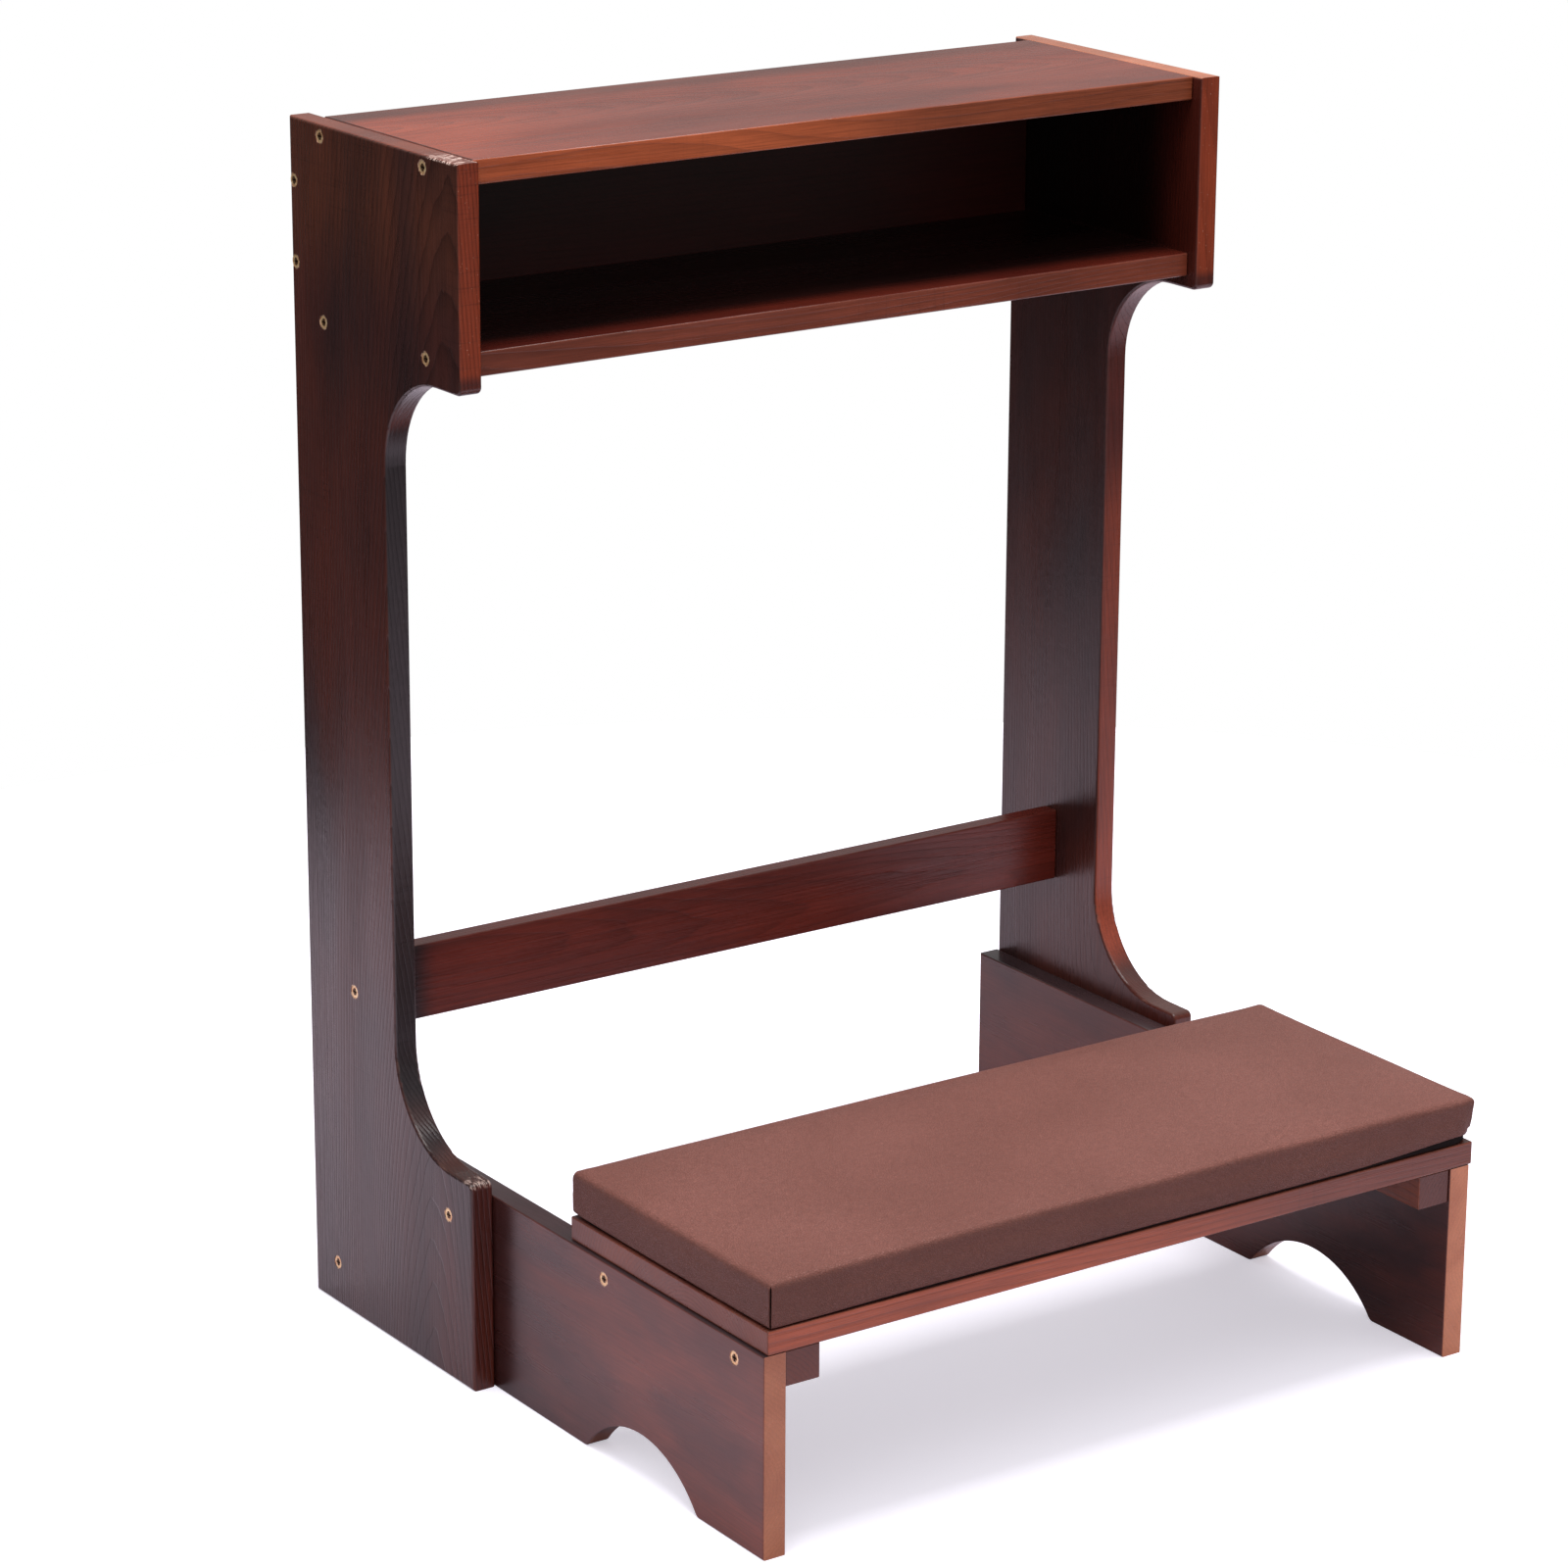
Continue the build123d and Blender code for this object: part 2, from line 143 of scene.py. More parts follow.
def rgb(red, green, blue):
    """A colour from 0..255 display values (sRGB), as the linear values that the nodes take."""
    def linear(v):
        return ((v / 255 + 0.055) / 1.055) ** 2.4 if v > 10 else v / 3295

    return (linear(red), linear(green), linear(blue), 1)


# ---- stained wood ------------------------------------------------------------------

X, Y, Z = 0, 1, 2
FRONT, LEFT, RIGHT, UP, DOWN = (0, -1, 0), (-1, 0, 0), (1, 0, 0), (0, 0, 1), (0, 0, -1)
FAR = 9.0                   # past every piece, for a zone without a limit on that side
GRAIN_ORDER = {"X": (X, Z, Y), "Y": (Y, X, Z), "Z": (Z, X, Y)}     # along, thickness, width
RING = 3.1 * MM             # from one growth ring to the next
RING_SWAY = 46 * MM         # how far the tree's heart line wanders
RING_WAVES = 3.2 * MM       # the small waves of the rings
DEPTH_LEAN = 2.5            # the heart line leans this much more through a board than across it
ARRIS = 1.6 * MM            # width of the worn edges
WOOD_RELIEF = 0.16 * MM
RIM_SOLID, RIM_END = 3.9 * MM, 4.3 * MM     # the torn rim round a screw head, from its middle
RIM_RAGGED = 2.4 * MM
LACQUER_IOR = 1.47
DARK = rgb(46, 30, 31)
WARM = rgb(84, 39, 31)
PALE = rgb(206, 152, 132)
TORN_RIM = rgb(214, 176, 150)
FRAYED = rgb(234, 204, 192)


class Zone:
    """A part of a piece that is coloured from dark to light, by its stain and in some zones by
    painted shade and painted reflection: the faces that look along normal, and of those what
    lies from low to high along axis, with a soft border. share is how much of that colour it
    takes."""

    def __init__(self, dark, light, normal=None, axis=None, low=-FAR, high=FAR, soft=4 * MM,
                 share=1.0):
        self.dark, self.light, self.normal = dark, light, normal
        self.axis, self.low, self.high, self.soft, self.share = axis, low, high, soft, share

    def mask(self, g, place, facing):
        parts = [self.share]
        if self.normal is not None:
            parts.append(g.step(g.dot(facing, self.normal), 0.55, 0.9))
        if self.axis is not None:
            along = g.split(place)[self.axis]
            parts.append(g.step(along, self.low - self.soft, self.low + self.soft))
            parts.append(g.step(along, self.high - self.soft, self.high + self.soft, 1.0, 0.0))
        return g.product(*parts)


def stained_wood(name, grain, seed, pith, tilt=0.02, dark=DARK, light=WARM, zones=(), spots=(),
                 heads=(), specks=None, lines=0.5, figure=1.0, relief=1.0, wear=0.5, rough=0.29,
                 blotch=(2.6, 7.0)):
    """Softwood under mahogany stain and satin lacquer. grain is the axis it runs along, seed
    sets its own pattern, pith is the (thickness, width) place of the tree's heart in metres,
    tilt how far the board leans against the tree, zones the parts given another colour, by stain
    and in some parts by painted shade and painted reflection, spots the frayed corners as
    (middle, reach, fibres per metre along x, y and z, strength), heads the middles of the screw
    heads, which have torn rims, specks the zone with pale dots, lines how plainly the fibre
    shows as long lines, figure how plainly the growth rings and saw marks show, relief how deep
    the surface is, wear how pale the edges are, rough the mean roughness, and blotch how many
    patches of stain there are per metre, along and across."""
    g = Graph(name)
    place = g.place()
    facing = g.node("TexCoord").outputs["Normal"]
    order = GRAIN_ORDER[grain]
    axes = g.split(place)
    along, thick, wide = (axes[i] for i in order)
    shift = (seed * 1.7, seed * 0.9, seed * 2.3)
    own = g.vector("ADD", g.join(along, thick, wide), shift)

    def streaks(lengthwise, crosswise, detail=2.0, roughness=0.5, distortion=0.0):
        scaled = g.vector("MULTIPLY", own, (lengthwise, crosswise, crosswise))
        return g.noise(scaled, 1.0, detail, roughness, distortion)

    # growth rings: distance from a leaning, wavering heart line
    sway = g.math("MULTIPLY", g.math("SUBTRACT", streaks(1.6, 7.0, 1.0), 0.5), RING_SWAY)
    lean = g.math("MULTIPLY", along, tilt)
    across = g.math("ADD", g.math("SUBTRACT", wide, pith[1]), g.math("ADD", sway, lean))
    depth = g.math("SUBTRACT", thick, pith[0])
    depth = g.math("ADD", depth, g.math("MULTIPLY", lean, DEPTH_LEAN))
    radius = g.length(g.join(across, depth, 0.0))
    radius = g.math("ADD", radius, g.math("MULTIPLY", streaks(5.0, 60.0, 2.0), RING_WAVES))
    turn = g.math("FRACT", g.math("DIVIDE", radius, RING))
    late = g.math("POWER", turn, 3.0)
    late = g.math("MULTIPLY", late, g.step(turn, 0.93, 1.0, 1.0, 0.0))

    # fibre, calmer on the sawn ends, and marks of the saw across it
    calm = g.step(g.math("ABSOLUTE", g.split(facing)[order[0]]), 0.5, 0.9, 1.0, 0.25)
    fibre = g.math("SUBTRACT", streaks(16.0, 1500.0, 3.0, 0.6), 0.5)
    fibre = g.math("ADD", g.math("MULTIPLY", fibre, calm), 0.5)
    reeds = g.step(streaks(3.5, 430.0, 3.0, 0.7), 0.34, 0.66)
    plain = g.step(streaks(1.8, 15.0, 2.0), 0.40, 0.60, 0.25, 1.0)
    reeds = g.product(g.math("SUBTRACT", reeds, 0.5), plain, calm, 2.0 * lines)
    pores = streaks(60.0, 700.0, 2.0, 0.6)
    cuts = g.noise(g.vector("MULTIPLY", own, (820.0, 14.0, 14.0)), 1.0, 2.0, 0.6)
    cut_mask = g.step(streaks(5.0, 9.0, 2.0), 0.40, 0.58)
    patch = g.step(streaks(blotch[0], blotch[1], 3.0, 0.55, 0.4), 0.34, 0.66)
    cloud = g.step(streaks(7.0, 26.0, 3.0, 0.6), 0.3, 0.7)

    base_dark, base_light = dark, light
    for zone in zones:
        mask = zone.mask(g, place, facing)
        base_dark = g.mix(mask, base_dark, zone.dark)
        base_light = g.mix(mask, base_light, zone.light)
    tone = g.math("ADD", g.math("MULTIPLY", patch, 0.72), g.math("MULTIPLY", cloud, 0.28))
    colour = g.mix(tone, base_dark, base_light)
    shade = g.math("MULTIPLY", g.step(fibre, 0.25, 0.75, 0.80, 1.14),
                   g.step(pores, 0.3, 0.7, 0.93, 1.06))
    ringed = g.math("SUBTRACT", 1.0, g.math("MULTIPLY", late, 0.30 * figure))
    shade = g.math("MULTIPLY", shade, ringed)
    shade = g.math("MULTIPLY", shade, g.math("ADD", g.math("MULTIPLY", reeds, 0.22), 1.0))
    scores = g.product(g.step(cuts, 0.55, 0.72), cut_mask, figure)
    shade = g.math("MULTIPLY", shade, g.math("SUBTRACT", 1.0, g.math("MULTIPLY", scores, 0.18)))
    colour = g.mix(1.0, colour, g.join(shade, shade, shade), "MULTIPLY")

    # worn arrises: where a rounded normal leaves the true one
    smooth = g.node("Bevel", {"Radius": ARRIS}, samples=4).outputs[0]
    true = g.node("NewGeometry").outputs["True Normal"]
    edge = g.step(g.dot(smooth, true), 0.995, 0.90)
    chips = g.step(g.noise(place, 900.0, 3.0, 0.7), 0.52, 0.66)
    rub = g.step(g.noise(place, 38.0, 3.0, 0.6), 0.42, 0.62)
    worn = g.product(edge, g.math("ADD", g.math("MULTIPLY", chips, 0.6), 0.25), rub, wear)
    colour = g.mix(worn, colour, PALE)
    if len(heads):
        ripple = g.math("MULTIPLY", g.noise(place, 620.0, 2.0), -RIM_RAGGED)
        ragged = g.math("ADD", g.nearest(place, heads), ripple)
        rim = g.product(g.step(ragged, RIM_SOLID, RIM_END, 0.9, 0.0),
                        g.step(g.noise(place, 260.0, 2.0), 0.44, 0.56))
        colour = g.mix(rim, colour, TORN_RIM)
    for centre, reach, ridge, strength in spots:
        away = g.length(g.vector("SUBTRACT", place, tuple(centre)))
        wavy = g.vector("ADD", g.vector("MULTIPLY", place, ridge), shift)
        torn = g.product(g.step(away, reach, reach * 0.6), g.step(g.split(facing)[2], 0.05, 0.5),
                         g.step(g.noise(wavy, 1.0, 2.0, 0.6, 0.6), 0.48, 0.58),
                         g.step(g.noise(place, 160.0, 2.0), 0.36, 0.52),
                         g.math("ADD", g.math("MULTIPLY", edge, 0.6), 0.75), strength)
        colour = g.mix(torn, colour, FRAYED)
    if specks is not None:
        dots = g.step(g.noise(place, 560.0, 2.0, 0.7), 0.69, 0.72)
        colour = g.mix(g.math("MULTIPLY", dots, specks.mask(g, place, facing)), colour, PALE)

    height = g.math("MULTIPLY", fibre, 0.35)
    height = g.math("SUBTRACT", height, g.math("MULTIPLY", late, 0.9 * figure))
    height = g.math("ADD", height, g.math("MULTIPLY", reeds, 0.9))
    height = g.math("SUBTRACT", height, g.math("MULTIPLY", scores, 0.10))
    height = g.math("ADD", height, g.math("MULTIPLY", g.noise(place, 160.0, 2.0), 0.6))
    normal = g.bump(height, WOOD_RELIEF, 0.75 * relief)
    gloss = g.math("ADD", g.math("MULTIPLY", streaks(3.0, 30.0, 3.0), 0.22), rough - 0.11)
    gloss = g.math("ADD", gloss, g.math("MULTIPLY", worn, 0.2))
    gloss = g.math("ADD", gloss, g.math("MULTIPLY", reeds, 0.07))
    return g.finish(Base_Color=colour, Roughness=gloss, Normal=normal, IOR=LACQUER_IOR)


SAME_PLACE = 0.01 * MM      # points nearer than this are one
HEAD_EDGE = 0.3 * MM        # the points this near a screw's end show how wide that end is
HEAD_SUNK = 0.5 * MM        # a head belongs to the piece whose box it is this near


def islands(mesh):
    """The points of each separate solid in a mesh."""
    work = bmesh.new()
    work.from_mesh(mesh)
    bmesh.ops.remove_doubles(work, verts=work.verts, dist=SAME_PLACE)
    left = set(work.verts)
    found = []
    while left:
        reached = [left.pop()]
        for vertex in reached:
            near = {edge.other_vert(vertex) for edge in vertex.link_edges} & left
            left -= near
            reached.extend(near)
        found.append(np.array([vertex.co[:] for vertex in reached]))
    work.free()
    return sorted(found, key=lambda points: tuple(points.mean(axis=0).round(5)))


def screw_heads():
    """The middle of each screw head's face, at the end of the screw that is wider."""
    heads = []
    for name in sorted(NODES):
        if not name.endswith("_screws"):
            continue
        for points in islands(NODES[name].data):
            low, high = points.min(axis=0), points.max(axis=0)
            axis = int(np.argmax(high - low))
            side = (axis + 1) % 3
            ends = {}
            for end in (low[axis], high[axis]):
                close = points[np.abs(points[:, axis] - end) < HEAD_EDGE]
                ends[float(np.ptp(close[:, side]))] = end
            middle = (low + high) / 2
            middle[axis] = ends[max(ends)]
            heads.append(middle)
    return np.array(heads)


HEADS = screw_heads()


def heads_on(node):
    """The screw heads that sit in a piece."""
    low, high = (np.array(corner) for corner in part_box(node))
    on = ((HEADS > low - HEAD_SUNK) & (HEADS < high + HEAD_SUNK)).all(axis=1)
    return HEADS[on]


def upright_wood(side):
    """Dark outer face, orange-red front edge of the head and dull red edge of the foot. The left
    post and curves are nearly black, the right ones red-brown."""
    low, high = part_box(side + "_upright")
    head_front, toe_middle, foot_top, head_bottom, post_top = 0.057, 0.060, 0.159, 0.731, 0.690
    outer = low.x if side == "left" else high.x
    inner = high.x if side == "left" else low.x
    inward, outward = (RIGHT, LEFT) if side == "left" else (LEFT, RIGHT)
    top_corner = Vector((outer, head_front, high.z))
    toe_corner = Vector(((outer + inner) / 2, toe_middle, foot_top))
    post = (Z, foot_top + 8 * MM, post_top, 6 * MM)
    if side == "left":
        seed, pith = 3.0, (-0.392, 0.104)
        grey, soot = rgb(34, 29, 31), rgb(50, 41, 44)
        post_edge = [Zone(grey, soot, FRONT, *post), Zone(grey, soot, UP, *post)]
        top_edge = Zone(rgb(96, 40, 25), rgb(125, 58, 36), UP, Z, 0.85, 0.95)
        curve = Zone(rgb(26, 22, 23), rgb(44, 34, 34), DOWN, Z, 0.60, 0.80)
        spots = [(top_corner, 50 * MM, (120, 900, 500), 1.0),
                 (toe_corner, 14 * MM, (900, 160, 160), 0.5)]
        lines, figure = 0.32, 1.6
    else:
        seed, pith = 8.0, (0.392, 0.150)
        post_edge = [Zone(rgb(104, 46, 34), rgb(156, 68, 46), FRONT, *post),
                     Zone(rgb(66, 26, 22), rgb(100, 40, 32), FRONT, Z, 0.56, 0.71, 50 * MM)]
        top_edge = Zone(rgb(142, 84, 62), rgb(180, 110, 82), UP, Z, 0.85, 0.95)
        curve = Zone(rgb(84, 32, 22), rgb(116, 48, 33), DOWN, Z, 0.60, 0.80)
        spots = ()
        lines, figure = 0.22, 0.8
    orange_edge = Zone(rgb(116, 44, 24), rgb(150, 62, 34), FRONT, Z, head_bottom + 12 * MM, 0.9)
    zones = [
        Zone(rgb(70, 30, 26), rgb(96, 40, 28), FRONT),
        orange_edge,
        Zone(rgb(64, 36, 30), rgb(104, 54, 37), outward, Z, 0.80, 0.95, 45 * MM),
        Zone(rgb(36, 26, 29), rgb(54, 35, 35), outward, Y, 0.112, 0.142, 16 * MM, 0.6),
        # painted shade: the inner faces inside the compartment under the desk top are near black
        Zone(rgb(15, 4, 4), rgb(30, 8, 6), inward, Z, 0.758, 0.873, 3 * MM),
        Zone(rgb(54, 18, 13), rgb(84, 31, 22), inward, Y, -FAR, 0.094, 34 * MM),
        Zone(rgb(62, 37, 33), rgb(84, 48, 41), UP, Z, 0.0, foot_top + 2 * MM),
        curve, top_edge, *post_edge,
    ]
    return stained_wood(side + "_upright_wood", "Z", seed, pith, 0.035, zones=zones, lines=lines,
                        figure=figure, spots=spots, specks=orange_edge,
                        heads=heads_on(side + "_upright"), relief=1.5)


def dress_wood():
    """Every board in its own tones, with paler or darker faces where the photo has them."""
    for side in ("left", "right"):
        paint(side + "_upright", upright_wood(side))
    orange = Zone(rgb(146, 66, 36), rgb(182, 92, 54), FRONT)
    dull_orange = Zone(rgb(106, 49, 30), rgb(138, 69, 43), FRONT, X, 0.02, FAR, 90 * MM)
    red_brown = Zone(rgb(100, 45, 30), rgb(126, 59, 41), FRONT)
    # the desk top darker towards the rear
    top_darker_rear = Zone(rgb(62, 27, 21), rgb(97, 44, 32), UP, Y, 0.238, FAR, 12 * MM)
    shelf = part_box("book_shelf")
    # painted shadow of the desk top: the shelf's top dark behind its first 22 mm
    shelf_shadow_painted = Zone(rgb(22, 8, 7), rgb(40, 14, 11), UP, Y, shelf[0].y + 22 * MM, FAR, 14 * MM)
    desk_end = 0.3082
    joints = [Zone(rgb(26, 9, 8), rgb(34, 12, 10), UP, X, low, high, 0.5 * MM)
              for low, high in ((-FAR, -desk_end), (desk_end, FAR))]
    redder = Zone(rgb(100, 38, 25), rgb(139, 60, 38), UP, X, -FAR, -0.20, 90 * MM)
    desk_zones = [redder, top_darker_rear, orange, dull_orange, *joints]
    paint("desk_top", stained_wood("desk_top_wood", "X", 1.0, (0.83, 0.19), 0.03,
                                   rgb(80, 32, 24), rgb(118, 50, 34), desk_zones,
                                   lines=0.6, rough=0.27))
    paint("book_shelf", stained_wood("book_shelf_wood", "X", 2.0, (0.70, 0.15), 0.02,
                                     rgb(66, 20, 15), rgb(98, 34, 22), [shelf_shadow_painted, red_brown]))
    paint("back_board", stained_wood("back_board_wood", "X", 4.0, (0.33, 0.80), 0.02,
                                     rgb(60, 24, 18), rgb(86, 36, 26),
                                     # painted shade: the front face, which looks into the
                                     # compartment, darker
                                     [Zone(rgb(40, 8, 5), rgb(66, 16, 10), FRONT)],
                                     lines=0.1, figure=0.5, relief=0.4, rough=0.42))
    rail_end = Zone(rgb(28, 20, 24), rgb(40, 28, 30), FRONT, X, -FAR, -0.272, 12 * MM)
    paint("cross_rail", stained_wood("cross_rail_wood", "X", 5.0, (0.25, 0.16), 0.02,
                                     rgb(84, 28, 22), rgb(118, 42, 30), [rail_end]))
    salmon = Zone(rgb(136, 60, 36), rgb(168, 80, 52), FRONT)
    # the board's front darker towards the right
    front_darker_right = Zone(rgb(94, 43, 32), rgb(128, 64, 48), FRONT, X, 0.09, FAR, 90 * MM)
    board_end = Zone(rgb(95, 37, 18), rgb(128, 60, 34), LEFT)
    paint("kneeling_board", stained_wood("kneeling_board_wood", "X", 6.0, (0.09, -0.2), 0.02,
                                         rgb(66, 32, 28), rgb(96, 46, 34),
                                         [salmon, front_darker_right, board_end,
                                          Zone(rgb(100, 50, 40), rgb(124, 66, 50), RIGHT)],
                                         heads=heads_on("kneeling_board"), wear=0.8))
    for side, seed, pith in (("left", 7.0, (-0.36, 0.05)), ("right", 9.0, (0.36, 0.07))):
        node = side + "_kneeler_side"
        pale = Zone(rgb(158, 91, 64), rgb(186, 116, 84), FRONT)
        outside = LEFT
        if side == "right":
            pale = Zone(rgb(178, 103, 72), rgb(208, 131, 96), FRONT)
            outside = RIGHT
        # Outer face paler towards the front: stain and painted reflection of the floor. Darker
        # at the rear by the foot: painted shade where the foot hides that reflection.
        front_stain_and_sheen = Zone(rgb(78, 36, 31), rgb(126, 58, 41), outside, Y, -FAR, -0.06, 80 * MM)
        shade = Zone(rgb(44, 20, 20), rgb(62, 28, 25), outside, Y, 0.02, FAR, 24 * MM)
        rim = Zone(rgb(50, 37, 40), rgb(66, 48, 50), UP, Z, 0.1, 0.2)
        paint(node, stained_wood(node + "_wood", "Y", seed, pith, 0.02,
                                 rgb(54, 29, 29), rgb(106, 48, 36), [pale, front_stain_and_sheen, shade, rim],
                                 heads=heads_on(node), lines=0.14, figure=0.4, relief=0.5,
                                 blotch=(5.0, 13.0)))
        cleat_front = Zone(rgb(76, 32, 22), rgb(102, 46, 31), FRONT)
        paint(side + "_cleat", stained_wood(side + "_cleat_wood", "Y", seed + 3.3, pith, 0.02,
                                            rgb(112, 52, 34), rgb(150, 74, 46), [cleat_front]))


# ---- the other materials -----------------------------------------------------------

PLY_PAIR = 1.5 * MM         # thickness of a pale and a dark layer of the plywood
VINYL_GRAIN = 0.44 * MM
GRAIN_WARP = 1.8 * MM       # how far the cells of the vinyl's grain are bent
HEAD_SHADE_SOLID, HEAD_SHADE_END = 3.2 * MM, 3.9 * MM   # painted shade over the middle of a screw head
RECESS_SHADE = 1.6 * MM           # how far painted shade in the recess reaches from its walls


def plywood():
    """Bare faces, and edges of thin crossed layers painted near black as painted shade, so that
    where they show under the cover they read as the dark gap.
    """
    g = Graph("birch_plywood")
    place = g.place()
    level = g.split(place)[2]
    layer = g.math("FRACT", g.math("DIVIDE", g.math("ADD", level, 1.0), PLY_PAIR))
    band = g.step(g.math("ABSOLUTE", g.math("SUBTRACT", layer, 0.5)), 0.2, 0.3)
    fibre = g.noise(g.vector("MULTIPLY", place, (14.0, 700.0, 700.0)), 1.0, 3.0)
    colour = g.mix(band, rgb(176, 140, 98), rgb(206, 176, 134))
    colour = g.mix(g.step(fibre, 0.3, 0.7, 0.0, 0.4), colour, rgb(150, 112, 74))
    # painted shade: the edges near black, to read as the shadowed gap under the cover
    upward = g.split(g.node("TexCoord").outputs["Normal"])[2]
    edge = g.step(g.math("ABSOLUTE", upward), 0.9, 0.4)
    colour = g.mix(edge, colour, g.mix(band, rgb(14, 7, 7), rgb(22, 12, 10)))
    return g.finish(Base_Color=colour, Roughness=0.8, Normal=g.bump(fibre, 0.1 * MM),
                    Specular_IOR_Level=0.12)


def foam():
    """Pale open cells."""
    g = Graph("upholstery_foam")
    place = g.place()
    cells = g.node("TexVoronoi", {"Vector": place, "Scale": 900.0}).outputs["Distance"]
    colour = g.mix(g.step(cells, 0.1, 0.7), rgb(196, 182, 130), rgb(226, 214, 168))
    return g.finish(Base_Color=colour, Roughness=0.95, Normal=g.bump(cells, 0.5 * MM))


def vinyl():
    """Matt upholstery vinyl with a fine leather grain, with painted shade: darker on the sides
    than on top, and nearly black inside the corner slits.
    """
    g = Graph("grained_vinyl")
    place = g.place()
    warp = g.node("TexNoise", {"Vector": place, "Scale": 260.0, "Detail": 2.0}).outputs["Color"]
    bent = g.vector("ADD", place, g.vector("MULTIPLY", warp, (GRAIN_WARP,) * 3))
    cells = g.node("TexVoronoi", {"Vector": bent, "Scale": 620.0}, feature="DISTANCE_TO_EDGE")
    crease = g.step(cells.outputs["Distance"], 0.0, 0.2)
    fine = g.noise(place, 2600.0, 2.0)
    pebbles = g.noise(place, 280.0, 3.0, 0.6)
    swell = g.noise(place, 55.0, 3.0)
    height = g.math("ADD", g.math("MULTIPLY", crease, 0.8), g.math("MULTIPLY", fine, 0.2))
    height = g.math("ADD", height, g.math("MULTIPLY", pebbles, 1.9))
    height = g.math("ADD", height, g.math("MULTIPLY", swell, 2.0))
    tone = g.noise(place, 9.0, 3.0)
    colour = g.mix(g.step(tone, 0.3, 0.7), rgb(124, 76, 67), rgb(133, 83, 74))
    colour = g.mix(g.step(pebbles, 0.3, 0.7, 0.0, 0.34), colour, rgb(104, 60, 52))
    colour = g.mix(g.step(crease, 0.0, 1.0, 0.25, 0.0), colour, rgb(78, 42, 38))
    # painted shade: the sides, which face away from the overhead light, darker than the top
    upward = g.split(g.node("TexCoord").outputs["Normal"])[2]
    colour = g.mix(g.step(upward, 0.85, 0.35), colour, (0.75, 0.73, 0.72, 1), "MULTIPLY")

    # painted shade: nearly black inside the corner slits
    x, y, z = g.split(place)
    inset_x = g.math("SUBTRACT", float(PAD_HALF[0]), g.math("ABSOLUTE", x))
    inset_y = g.math("SUBTRACT", float(PAD_HALF[1]), g.math("ABSOLUTE", y))
    off_line = g.math("ABSOLUTE", g.math("SUBTRACT", inset_x, inset_y))
    inside = g.product(g.step(off_line, 0.9 * MM, 0.4 * MM),
                       g.step(g.math("MINIMUM", inset_x, inset_y), 0.9 * MM, 1.6 * MM),
                       g.step(z, float(PAD_HALF[2]) - 3 * MM, float(PAD_HALF[2]) - 5 * MM))
    colour = g.mix(inside, colour, rgb(16, 8, 8))
    gloss = g.step(crease, 0.0, 1.0, 0.60, 0.45)
    return g.finish(Base_Color=colour, Roughness=gloss, Normal=g.bump(height, VINYL_GRAIN, 0.9),
                    IOR=1.46, Specular_IOR_Level=0.34)


def metal(name, dull, bright, rough, shine=1.0, heads=()):
    """A plated or drawn metal, clouded and faintly scratched. Worn plating has less shine. The
    screw heads have painted shade: brown in their middle and near black in the recess."""
    g = Graph(name)
    place = g.place()
    open_sky = g.node("AmbientOcclusion", {"Distance": RECESS_SHADE}, samples=4).outputs["AO"]
    cloud = g.noise(place, 420.0, 3.0, 0.6)
    grit = g.noise(place, 2600.0, 2.0)
    colour = g.mix(g.step(cloud, 0.3, 0.7), dull, bright)
    # painted shade: the middle of each screw head brown
    if len(heads):
        ragged = g.math("ADD", g.nearest(place, heads), g.math("MULTIPLY", cloud, 1.6 * MM))
        colour = g.mix(g.step(ragged, HEAD_SHADE_END, HEAD_SHADE_SOLID, 0.0, 0.88), colour, rgb(84, 50, 32))
    # painted shade: near black where ambient occlusion finds a recess
    colour = g.mix(g.step(open_sky, 0.85, 0.45), colour, rgb(30, 20, 12))
    gloss = g.math("ADD", g.math("MULTIPLY", grit, 0.2), rough - 0.1)
    return g.finish(Base_Color=colour, Metallic=shine, Roughness=gloss,
                    Normal=g.bump(grit, 0.04 * MM))


def paint(node, material):
    """Gives a CAD node one material for all its faces."""
    mesh = NODES[node].data
    mesh.materials.clear()
    mesh.materials.append(material)


def dress_hardware():
    """Brass-plated screws, steel staples and the plywood that they sit in."""
    brass = metal("plated_brass", rgb(218, 160, 112), rgb(250, 222, 172), 0.34, 0.5, HEADS)
    wire = metal("staple_steel", rgb(150, 150, 154), rgb(196, 196, 200), 0.35)
    for node in NODES:
        if node.endswith("_screws"):
            paint(node, brass)
    paint("pad_staples", wire)
    paint("pad_base", plywood())


# ---- pad ---------------------------------------------------------------------------

PAD_CORE = 20 * MM          # plan radius of the plywood's corners
TOP_RADIUS = 6 * MM
BOTTOM_RADIUS = 3.5 * MM
SQUARE = 6                  # plan corners: 2 is round, more is squarer
FINE_GAP, WIDE_GAP = 0.25 * MM, 6 * MM      # between grid lines at a corner, and far from it
FINE_LEVEL, WIDE_LEVEL = 0.8 * MM, 1.8 * MM     # the same, up the walls
SLIT_DEPTH = 3.4 * MM       # the sewn corner: a slit, from just under the top
SLIT_WIDTH = 0.5 * MM
SLIT_START, SLIT_FADE = 2.5 * MM, 2 * MM
LIP = 0.35 * MM             # the seam's thicker border beside the slit
LIP_PLACE, LIP_WIDTH = 1.6 * MM, 0.9 * MM
PUCKER = 0.30 * MM          # small folds along the upper edge, fading away from the corner
PUCKER_WAVE, PUCKER_REACH = 1.15 * MM, 16 * MM      # the first is a fold's length over 2 pi
SLACK = 0.5 * MM            # slow waves in the top
CROWN = 1.6 * MM            # along the pad, on top of what the stuffing lifts
FRONT_LIFT = 1.1 * MM       # the front's lower edge stands off the board, except at the left
FRONT_RISE, FRONT_BAND = 120 * MM, 14 * MM      # over this length, and this far from the front
